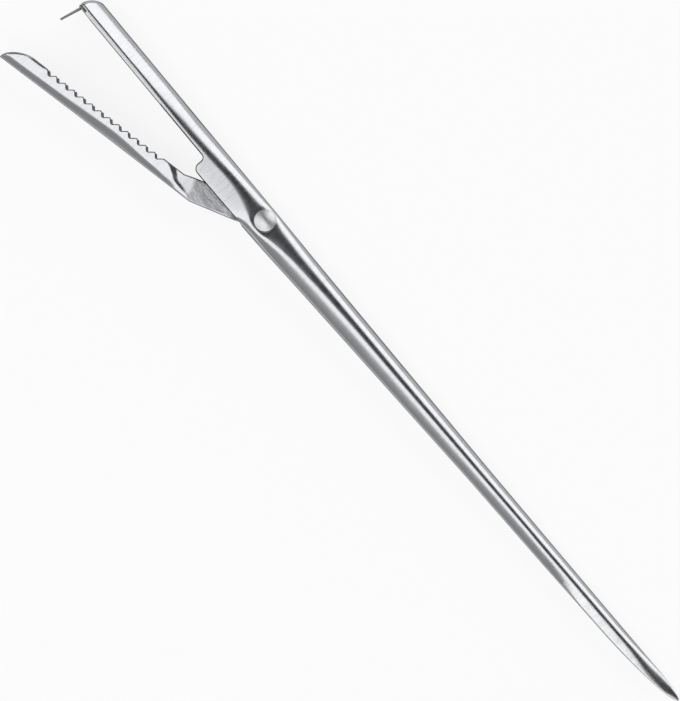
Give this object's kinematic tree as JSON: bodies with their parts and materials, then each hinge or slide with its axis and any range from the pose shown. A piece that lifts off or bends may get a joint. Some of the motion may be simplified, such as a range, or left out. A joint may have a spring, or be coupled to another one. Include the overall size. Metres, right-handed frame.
{
  "type": "larding needle",
  "caption": "Hinged larding needle of polished sheet steel: a tapered hollow needle with a ground point, a fixed half round jaw and a toothed jaw that closes on a strip of fat.",
  "frame": {"origin": "where the hinge axis meets the flat end of the rivet's tail", "axes": "+X from the hinge to the needle's point, +Y towards the back of the fixed jaw, +Z along the hinge towards the rivet's head"},
  "size_m": [0.1987, 0.0238, 0.0098],
  "materials": {
    "polished_stainless": "polished"
  },
  "bodies": {
    "needle": {"needle_body": "polished_stainless", "hinge_rivet": "polished_stainless", "spike": "polished_stainless"},
    "jaw": {"toothed_jaw": "polished_stainless"}
  },
  "joints": [
    {"name": "jaw_hinge", "type": "hinge", "parent": "needle", "child": "jaw", "pos_m": [0, 0, 0.0033], "axis": [0, 0, 1], "range_deg": [-12.2, 0]}
  ]
}
